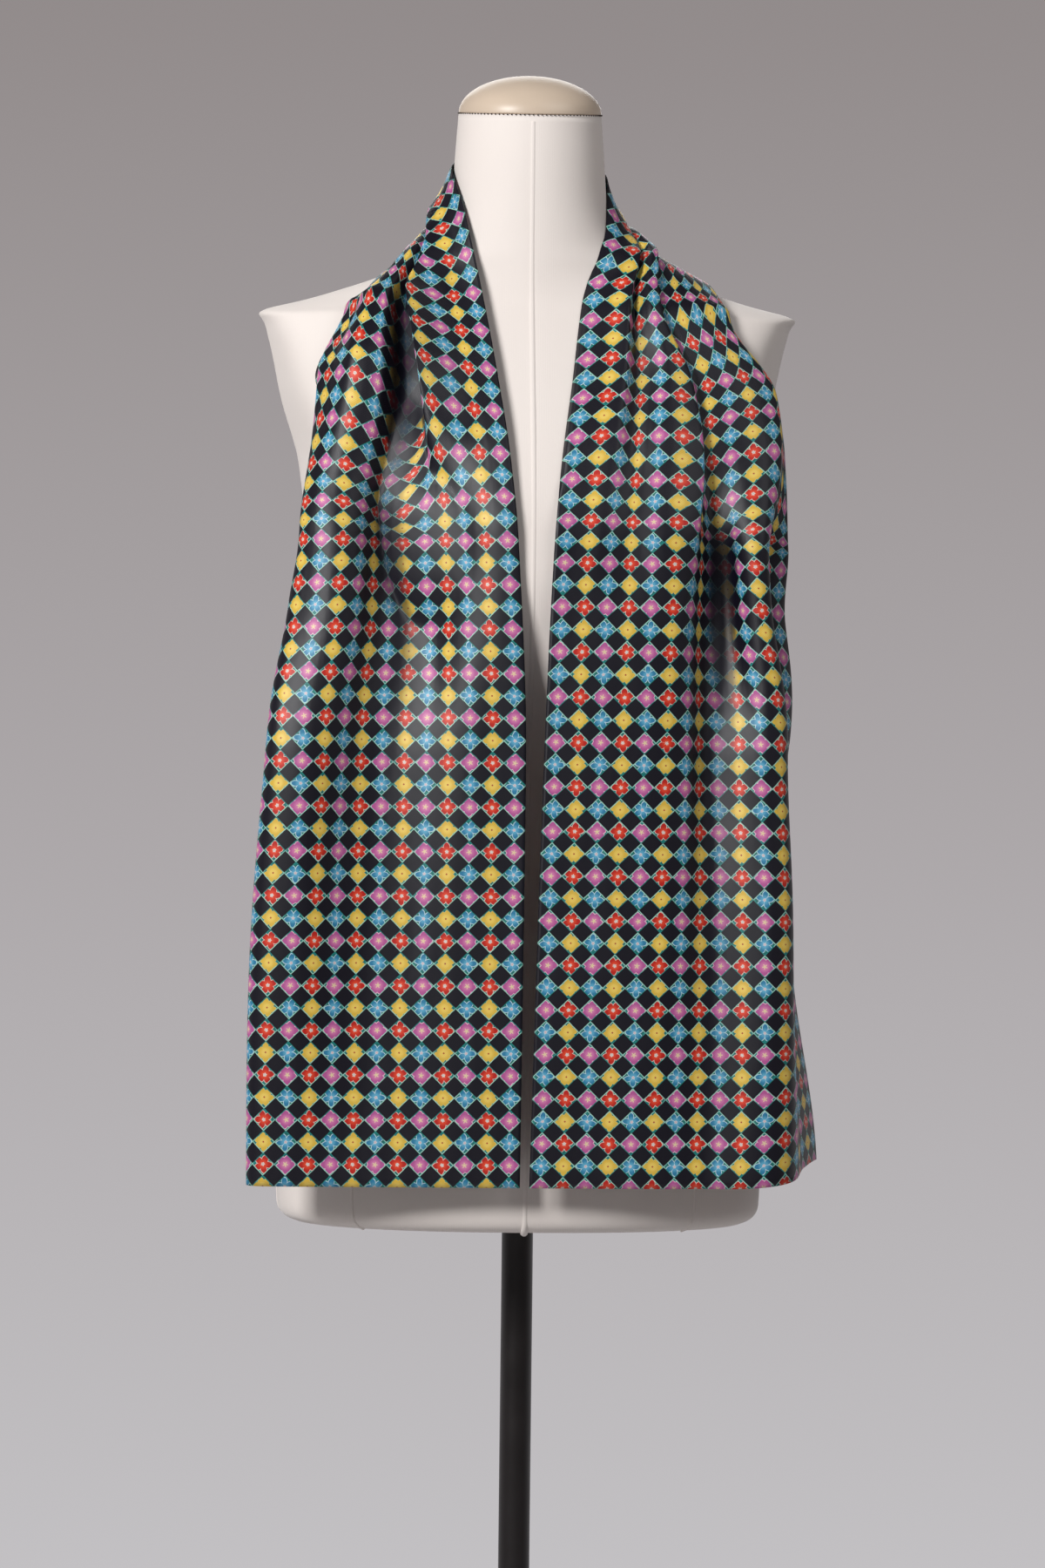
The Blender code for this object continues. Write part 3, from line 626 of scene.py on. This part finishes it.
def level_at(points, sections):
    x, y, z = points[..., 0], points[..., 1], points[..., 2]
    columns = [np.interp(z, sections[:, 0], sections[:, k]) for k in range(1, 6)]
    return form_level(x, y, columns) - 1.0


def distance_to_form(points, sections=FINE_FORM):
    """How far each point is outside the form, and the way out."""
    nudge = 0.0005
    level = level_at(points, sections)
    way = np.zeros_like(points)
    for axis in range(3):
        shift = np.zeros(3)
        shift[axis] = nudge
        ahead, behind = level_at(points + shift, sections), level_at(points - shift, sections)
        way[..., axis] = (ahead - behind) / (2 * nudge)
    steep = np.maximum(np.linalg.norm(way, axis=-1), 1e-6)
    return level / steep, way / steep[..., None]


def laid_clear(points):
    """Moves what would sink into the form out to its skin."""
    least = CLEAR_OF_FORM + SILK_WALL / 2
    for _ in range(CLEARING_ROUNDS):
        distance, way = distance_to_form(points)
        push = np.maximum(0.0, least - distance)
        points = points + way * push[..., None]
    return points


def eased(value):
    value = np.clip(value, 0.0, 1.0)
    return value * value * (3 - 2 * value)


def hung_section(columns, rows, marks, table):
    """Run and rise of the hanging cloth, from its headings summed across the strip."""
    fine = np.linspace(0.0, COLUMNS, COLUMNS * STEPS_PER_COLUMN + 1)
    table = np.array(table, float)
    heading = np.radians(through(table[:, 0], table[:, 1:], rows))
    middle = (fine[1:] + fine[:-1]) / 2
    heading = np.stack([through(marks, line, middle) for line in heading])
    start = np.zeros((len(rows), 1))
    step = PITCH / STEPS_PER_COLUMN
    run = np.concatenate([start, np.cumsum(np.cos(heading) * step, axis=1)], axis=1)
    rise = np.concatenate([start, np.cumsum(np.sin(heading) * step, axis=1)], axis=1)
    run = np.stack([np.interp(at, fine, line) for at, line in zip(columns, run)])
    rise = np.stack([np.interp(at, fine, line) for at, line in zip(columns, rise)])
    return run[..., None], rise[..., None]


def laid_section(columns, rows):
    """Run and rise of the cloth that lies on the form, from its creases."""
    marks, out, up = (
        through(np.array(table)[:, 0], np.array(table)[:, 1:], rows)
        for table in (LAID_AT, LAID_RUN, LAID_RISE)
    )
    run = np.stack([through(a, b, c) for a, b, c in zip(marks, out, columns)])
    rise = np.stack([through(a, b, c) for a, b, c in zip(marks, up, columns)])
    return run * MILLIMETRE, rise * MILLIMETRE


def skin_lines(edge, outward):
    """Lines that run outwards over the form's hull from the cloth's inner edge, with the way off
    it at each of their points."""
    points, ways = [edge], []
    for _ in range(round(SKIN_REACH / SKIN_STEP)):
        _, way = distance_to_form(points[-1], HULL)
        flat = outward - way * np.sum(outward * way, axis=1)[:, None]
        flat /= np.maximum(np.linalg.norm(flat, axis=1), SKIN_SLOW)[:, None]
        there = points[-1] + flat * SKIN_STEP
        gap, out = distance_to_form(there, HULL)
        short = LYING_GAP - gap[:, None]
        there += out * np.maximum(short, -SKIN_SINK)
        points.append(there)
        ways.append(way)
    ways.append(ways[-1])
    points, ways = np.stack(points, axis=1), np.stack(ways, axis=1)
    padded = np.pad(ways, ((0, 0), (SKIN_EVEN, SKIN_EVEN), (0, 0)), mode="edge")
    ways = sum(padded[:, k : k + ways.shape[1]] for k in range(2 * SKIN_EVEN + 1))
    ways /= np.linalg.norm(ways, axis=2)[..., None]
    return points, ways


def edge_frame(rows):
    """The cloth's inner edge, the way it leaves it outwards, and the way off the form."""
    edge = np.array(EDGE)
    here = through(edge[:, 0], edge[:, 1:], rows)
    nudge = 0.5
    ahead = through(edge[:, 0], edge[:, 1:4], rows + nudge)
    behind = through(edge[:, 0], edge[:, 1:4], rows - nudge)
    bearing, dip = np.radians(here[:, 3]), np.radians(here[:, 4])
    outward = np.stack(
        [np.cos(dip) * np.cos(bearing), np.cos(dip) * np.sin(bearing), -np.sin(dip)], axis=1
    )
    proud = np.cross(ahead - behind, outward)
    proud /= np.linalg.norm(proud, axis=1)[:, None]
    return here[:, :3], outward, proud


def scarf_points(columns, rows):
    """Where the cloth's points lie. The result is an array by row, column and axis."""
    columns = np.broadcast_to(columns, (len(rows), np.shape(columns)[-1]))
    edge, outward, proud = edge_frame(rows)

    left = (rows < (LEFT_SHOULDER_ROW + RIGHT_SHOULDER_ROW) / 2)[:, None, None]
    left_run, left_rise = hung_section(columns, rows, LEFT_AT, LEFT)
    right_run, right_rise = hung_section(columns, rows, RIGHT_AT, RIGHT)
    run, rise = np.where(left, left_run, right_run), np.where(left, left_rise, right_rise)
    hung = edge[:, None] + outward[:, None] * run + proud[:, None] * rise

    lines, ways = skin_lines(edge, outward)
    for shift in WAYS_SPREAD:
        near_edge, near_outward, _ = edge_frame(np.clip(rows + shift, 0.0, ROWS))
        ways = ways + skin_lines(near_edge, near_outward)[1]
    ways /= np.linalg.norm(ways, axis=2)[..., None]
    reach = np.arange(lines.shape[1]) * SKIN_STEP
    run, rise = laid_section(columns, rows)
    laid = np.zeros(columns.shape + (3,))
    for k in range(len(rows)):
        for axis in range(3):
            laid[k, :, axis] = np.interp(run[k], reach, lines[k, :, axis])
            laid[k, :, axis] += rise[k] * np.interp(run[k], reach, ways[k, :, axis])

    lies = eased((rows - LIES_FROM[0]) / (LIES_FROM[1] - LIES_FROM[0]))
    lies *= eased((LIES_TO[1] - rows) / (LIES_TO[1] - LIES_TO[0]))
    lies = lies[:, None, None]
    return laid_clear(hung * (1 - lies) + laid * lies)


# The print: diamonds that touch at their corners, each with one small flower on a teal ground,
# and plain dark squares between them, all outlined in thin mint lines. Blue and pink flowers
# share every other column, yellow and red the rest.
NAVY = (0.0022, 0.0014, 0.0075)
TEAL = (0.006, 0.255, 0.235)
MINT = (0.36, 0.70, 0.58)
CREAM = (0.86, 0.74, 0.42)
WHITE = (0.82, 0.76, 0.70)
CLOTH_SHADE = (0.95, 0.93, 0.93)
# Each part gives way to the next between two values: the diamond to its mint line and that to the
# dark square by |x| + |y| from the diamond's middle in pitches, and a petal's light rim to the
# petal by an oval that is 1 at the petal's edge. RIM_BLUR is how softly the rim ends outside.
LINE_FROM = (0.455, 0.475)
DARK_FROM = (0.508, 0.528)
PETAL_END = (1.12, 0.92)
RIM_BLUR = 0.25
# Chance turns each flower by up to this many radians, and the other keeps its turn positive.
TURN_CHANCE = 6.28
TURN_ABOVE = 10.0
# How uneven the lines and the petals are.
LINE_WOBBLE = 0.05
PETAL_WOBBLE = 0.9
TWILL_DARK = (0.030, 0.026, 0.034)
TWILL_SHARE = 0.15
#            petals reach length width rim
PETALS = {
    "blue": (5, 0.235, 0.170, 0.112, 0.50),
    "pink": (5, 0.225, 0.195, 0.165, 0.30),
    "yellow": (6, 0.230, 0.195, 0.132, 0.16),
    "red": (5, 0.235, 0.175, 0.132, 0.34),
}
#            inner               outer                 rim
PETAL_COLOURS = {
    "blue": ((0.12, 0.45, 0.66), (0.025, 0.23, 0.42), (0.55, 0.76, 0.84)),
    "pink": ((0.74, 0.24, 0.48), (0.52, 0.105, 0.34), (0.86, 0.60, 0.68)),
    "yellow": ((0.92, 0.68, 0.14), (0.80, 0.52, 0.06), (0.74, 0.66, 0.24)),
    "red": ((0.84, 0.070, 0.024), (0.56, 0.015, 0.008), (0.88, 0.62, 0.54)),
}
#            radius star  colour
HEARTS = {
    "blue": (0.046, 0.030, (0.85, 0.55, 0.56)),
    "pink": (0.085, 0.045, CREAM),
    "yellow": (0.038, 0.0, (0.50, 0.02, 0.010)),
    "red": (0.058, 0.045, WHITE),
}


def flower(sums, kind, radius, turn, wobble, ground):
    """One flower's colour over the ground: oval petals round a small heart."""
    petals, reach, length, width, rim = PETALS[kind]
    light, deep, edge = PETAL_COLOURS[kind]
    off = sums.math("PINGPONG", turn, math.pi / petals)
    along = sums.math("MULTIPLY", radius, sums.math("COSINE", off))
    across = sums.math("MULTIPLY", radius, sums.math("SINE", off))
    out = sums.math("DIVIDE", sums.math("SUBTRACT", along, reach), length)
    side = sums.math("DIVIDE", across, width)
    oval = sums.math("ADD", sums.math("POWER", out, 2.0), sums.math("POWER", side, 2.0))
    oval = sums.math("ADD", oval, wobble)
    petal = sums.mix(sums.ramp(radius, 0.10, 0.30), light, deep)
    colour = sums.mix(sums.ramp(oval, 1.0 + rim + RIM_BLUR, 1.0 + rim), ground, edge)
    colour = sums.mix(sums.ramp(oval, *PETAL_END), colour, petal)
    size, star, heart = HEARTS[kind]
    points = sums.math("COSINE", sums.math("MULTIPLY", off, float(petals)))
    tip = sums.math("ADD", size, sums.math("MULTIPLY", points, star))
    inside = sums.ramp(sums.math("SUBTRACT", tip, radius), -0.010, 0.014)
    return sums.mix(inside, colour, heart)


def silk_material():
    material, sums, shader = new_material("silk_print", 0.43)
    cut = sums.node("ShaderNodeUVMap")
    cut.uv_map = "cut"
    place = cut.outputs["UV"]
    split = sums.node("ShaderNodeSeparateXYZ", Vector=place)
    across, along = split.outputs["X"], split.outputs["Y"]
    shifted = sums.math("ADD", along, 0.5)
    column, row = sums.math("FLOOR", across), sums.math("FLOOR", shifted)
    x = sums.math("SUBTRACT", sums.math("FRACT", across), 0.5)
    y = sums.math("SUBTRACT", sums.math("FRACT", shifted), 0.5)
    diamond = sums.math("ADD", sums.math("ABSOLUTE", x), sums.math("ABSOLUTE", y))
    uneven = sums.noise(place, 9.0, 3.0)
    ragged = sums.math("MULTIPLY", sums.math("SUBTRACT", uneven, 0.5), LINE_WOBBLE)
    diamond = sums.math("ADD", diamond, ragged)

    cell = sums.node("ShaderNodeCombineXYZ", X=column, Y=row)
    chance = sums.node("ShaderNodeTexWhiteNoise")
    chance.noise_dimensions = "2D"
    sums.feed(chance.inputs["Vector"], cell.outputs["Vector"])
    square = sums.math("ADD", sums.math("POWER", x, 2.0), sums.math("POWER", y, 2.0))
    radius = sums.math("SQRT", square)
    turned = sums.math("MULTIPLY", chance.outputs["Value"], TURN_CHANCE)
    turn = sums.math("ADD", sums.math("ARCTAN2", y, x), turned)
    turn = sums.math("ADD", turn, TURN_ABOVE)
    wobble = sums.math("SUBTRACT", sums.noise(place, 7.0), 0.5)
    wobble = sums.math("MULTIPLY", wobble, PETAL_WOBBLE)

    leaf = sums.mix(sums.ramp(uneven, 0.40, 0.58), TEAL, shaded(TEAL, 0.55))
    kinds = {kind: flower(sums, kind, radius, turn, wobble, leaf) for kind in PETALS}
    odd_row = sums.math("FLOORED_MODULO", row, 2.0)
    odd_column = sums.math("FLOORED_MODULO", column, 2.0)
    cool = sums.mix(odd_row, kinds["blue"], kinds["pink"])
    warm = sums.mix(odd_row, kinds["yellow"], kinds["red"])
    filled = sums.mix(odd_column, cool, warm)
    lower = sums.math("MULTIPLY", y, -0.9)
    patchy = sums.math("ADD", sums.noise(place, 2.3, 4.0), lower)
    line = sums.mix(sums.ramp(patchy, 0.30, 0.56), TEAL, MINT)
    colour = sums.mix(sums.ramp(diamond, *LINE_FROM), filled, line)
    colour = sums.mix(sums.ramp(diamond, *DARK_FROM), colour, NAVY)

    twill = sums.node("ShaderNodeTexWave", Vector=place, Scale=7.0)
    twill.bands_direction = "DIAGONAL"
    twill = twill.outputs["Fac"]
    worn = sums.mix(sums.math("MULTIPLY", twill, TWILL_SHARE), colour, TWILL_DARK)
    dyed = sums.mix(1.0, worn, CLOTH_SHADE, "MULTIPLY")
    # Painted shade: the pleat attribute mixes the colour towards navy where a narrow pleat lies in
    # shadow.
    pleat = sums.node("ShaderNodeAttribute")
    pleat.attribute_name = "pleat"
    sums.feed(shader.inputs["Base Color"], sums.mix(pleat.outputs["Fac"], dyed, NAVY))

    stretch = sums.node("ShaderNodeMapping", Vector=place, Scale=(1.0, 0.25, 1.0))
    crumple = sums.noise(stretch.outputs["Vector"], 0.55, 3.0)
    soft = sums.bump(crumple, 0.35, 0.004)
    sums.feed(shader.inputs["Normal"], sums.bump(twill, 0.22, 0.0003, soft))
    shader.inputs["Specular IOR Level"].default_value = 0.42
    return material


# Where the cloth sags between two folds: the row and column of the lowest place, how many rows and
# columns away from it the sag ends on each side, and its depth in rows.
#    name            row   less  more  column inner outer depth
SAGS = (
    ("left_pocket", 35.0, 6.8, 10.5, 6.2, 2.0, 7.8, 1.55),
    ("right_valley", 70.5, 10.0, 9.0, 8.0, 1.6, 5.6, -1.15),
)

# The outer corner of the right stretch swings out and up at its hem, from this row and column
# on, by so many millimetres.
CORNER_ROW = 97.0
CORNER_COLUMN = 9.0
CORNER_OUT = 10.0
CORNER_UP = 14.0

# Painted shade: the colour is darkened in a narrow pleat, where shadow falls. How near its two
# sides have to be and how deep it is where the painted shade is darkest, in metres, and the share
# of dark there. From LAST_COLUMN on the cloth is turned back and has none.
PLEAT_REACH = 0.028
PLEAT_DEPTH = 0.017
PAINTED_SHADE_SHARE = 0.94
LAST_COLUMN = 12.5


def painted_pleat_shade(points, columns):
    """Share of painted shade at each point, by how far it lies behind the cloth on both sides."""
    depth = np.zeros(points.shape[:2])
    for line, out in zip(points, depth):
        front = -line[:, 1]
        aside = line[None, :, 0] - line[:, None, 0]
        high = np.where(np.abs(aside) < PLEAT_REACH, front[None], -1.0)
        left = np.where(aside <= 0.0, high, -1.0).max(axis=1)
        right = np.where(aside >= 0.0, high, -1.0).max(axis=1)
        out[:] = np.minimum(left, right) - front
    return PAINTED_SHADE_SHARE * eased(depth / PLEAT_DEPTH) * eased(LAST_COLUMN - columns)[None]


def slack(columns, rows):
    """How many rows further along the strip the cloth has slid where it sags between two folds."""
    total = np.zeros(np.broadcast_shapes(columns.shape, rows.shape))
    for _, row, less, more, column, inner, outer, depth in SAGS:
        far = np.where(rows < row, (row - rows) / less, (rows - row) / more)
        aside = np.where(columns < column, (column - columns) / inner, (columns - column) / outer)
        total += depth * eased(1.0 - far) * eased(1.0 - aside)
    return total


def cloth_strip():
    """The cloth as one fine sheet. Its UV map is the place on the flat cut, slid along the strip
    where the cloth sags, so that the checks droop there."""
    columns = np.linspace(0.0, COLUMNS, COLUMNS * CELLS_PER_COLUMN + 1)
    rows = np.linspace(0.0, ROWS, ROWS * CELLS_PER_ROW + 1)
    points = scarf_points(columns, rows)
    swing = eased((rows - CORNER_ROW) / (ROWS - CORNER_ROW))[:, None]
    swing = swing * eased((columns - CORNER_COLUMN) / (COLUMNS - CORNER_COLUMN))[None]
    points[..., 0] += swing * CORNER_OUT * MILLIMETRE
    points[..., 2] += swing * CORNER_UP * MILLIMETRE
    printed = rows[:, None] + slack(columns[None], rows[:, None])
    mesh = bpy.data.meshes.new("silk_scarf")
    build = bmesh.new()
    print_place = build.loops.layers.uv.new("cut")
    grid = [[build.verts.new(tuple(point)) for point in line] for line in points]
    for i in range(len(rows) - 1):
        for k in range(len(columns) - 1):
            corners = ((i, k), (i + 1, k), (i + 1, k + 1), (i, k + 1))
            face = build.faces.new([grid[row][column] for row, column in corners])
            for loop, (row, column) in zip(face.loops, corners):
                loop[print_place].uv = (columns[column], printed[row, column])
    build.to_mesh(mesh)
    build.free()
    # Painted shade for the narrow pleats, kept on the points as the pleat attribute.
    shade = mesh.attributes.new("pleat", "FLOAT", "POINT")
    shade.data.foreach_set("value", painted_pleat_shade(points, columns).ravel())
    return mesh


silk = silk_material()
scarf = linked_piece("silk_scarf", cloth_strip(), silk)
wall = scarf.modifiers.new("cloth", "SOLIDIFY")
wall.thickness = SILK_WALL
wall.offset = 0.0
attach(scarf, "root")
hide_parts("scarf_left_front", "scarf_back_neck", "scarf_right_front")


# The floor: a plain pale disc, wide enough to catch the stand's shadow.
FLOOR_RADIUS = 2.1
FLOOR_THICKNESS = 0.01
FLOOR_PALE = (0.62, 0.61, 0.62)

floor_material, _, floor_shader = new_material("pale_floor", 0.9)
floor_shader.inputs["Base Color"].default_value = (*FLOOR_PALE, 1.0)
floor_profile = rod_profile(FLOOR_RADIUS, -FLOOR_THICKNESS - GAP, -GAP)
floor = turned_piece("floor", floor_profile, 128, floor_material)


# The light: a grey studio backdrop all round, pale near the floor and dim overhead, with a soft
# key from the front left and above, a weak fill from the right and a rim light from behind.
#    up     red    green  blue
BACKDROP = (
    (-0.30, 0.120, 0.115, 0.120),
    (-0.20, 0.560, 0.548, 0.565),
    (-0.02, 0.420, 0.395, 0.405),
    (0.17, 0.290, 0.262, 0.262),
    (0.24, 0.260, 0.240, 0.240),
    (0.45, 0.110, 0.105, 0.110),
)
# How bright the backdrop is on the viewer's side of the room, and between which places along Y
# of its unit ball it becomes so.
DIM_SIDE = 0.30
DIM_BETWEEN = (-0.45, 0.30)
LIGHT_AIM = Vector((0.0, 0.0, 1.2))
#    name    place             size  watts
LAMPS = (
    ("key", (-1.8, -2.3, 2.6), 0.9, 94.0),
    ("fill", (1.7, -1.8, 3.1), 1.8, 20.0),
    ("rim", (0.0, 2.4, 2.4), 1.6, 22.0),
)

world = bpy.data.worlds.new("studio")
bpy.context.scene.world = world
world.use_nodes = True
backdrop = world.node_tree.nodes["Background"]
air = Sums(world.node_tree)
looking = air.node("ShaderNodeTexCoord").outputs["Generated"]
heights = air.node("ShaderNodeSeparateXYZ", Vector=looking)
shades = air.node("ShaderNodeValToRGB")
for _ in BACKDROP[2:]:
    shades.color_ramp.elements.new(0.5)
for stop, (up, *shade) in zip(shades.color_ramp.elements, BACKDROP):
    stop.position = (up + 1) / 2
    stop.color = (*shade, 1.0)
air.feed(shades.inputs["Fac"], air.span(heights.outputs["Z"], (-1.0, 1.0), (0.0, 1.0)))
air.feed(backdrop.inputs["Color"], shades.outputs["Color"])
towards_back = air.span(heights.outputs["Y"], DIM_BETWEEN, (DIM_SIDE, 1.0))
air.feed(backdrop.inputs["Strength"], towards_back)
bpy.context.scene.view_settings.view_transform = "Standard"

for lamp_name, lamp_place, lamp_size, lamp_watts in LAMPS:
    lamp = bpy.data.lights.new(lamp_name, "AREA")
    lamp.size = lamp_size
    lamp.energy = lamp_watts
    holder = bpy.data.objects.new(lamp_name, lamp)
    bpy.context.scene.collection.objects.link(holder)
    holder.location = lamp_place
    holder.rotation_euler = (LIGHT_AIM - holder.location).to_track_quat("-Z", "Y").to_euler()


# The camera: level with the chest, a little to the left of the centre line, and turned by a
# fraction of a degree, as the photo was taken.
CAMERA_DISTANCE = 3.2
CAMERA_HEIGHT = 1.119
CAMERA_SIDE = math.radians(2.6)
CAMERA_ROLL = math.radians(0.65)
FOCAL_IN_PICTURE = 5000.0
PICTURE_HEIGHT = 1800.0
SENSOR_HEIGHT = 24.0

lens = bpy.data.cameras.new("camera")
lens.sensor_fit = "VERTICAL"
lens.sensor_height = SENSOR_HEIGHT
lens.lens = SENSOR_HEIGHT * FOCAL_IN_PICTURE / PICTURE_HEIGHT
camera = bpy.data.objects.new("camera", lens)
bpy.context.scene.collection.objects.link(camera)
camera.location = (
    -CAMERA_DISTANCE * math.sin(CAMERA_SIDE),
    -CAMERA_DISTANCE * math.cos(CAMERA_SIDE),
    CAMERA_HEIGHT,
)
aim = Vector((0.0, 0.0, CAMERA_HEIGHT))
camera.rotation_euler = (aim - camera.location).to_track_quat("-Z", "Y").to_euler()
camera.rotation_euler.rotate_axis("Z", CAMERA_ROLL)
bpy.context.scene.camera = camera
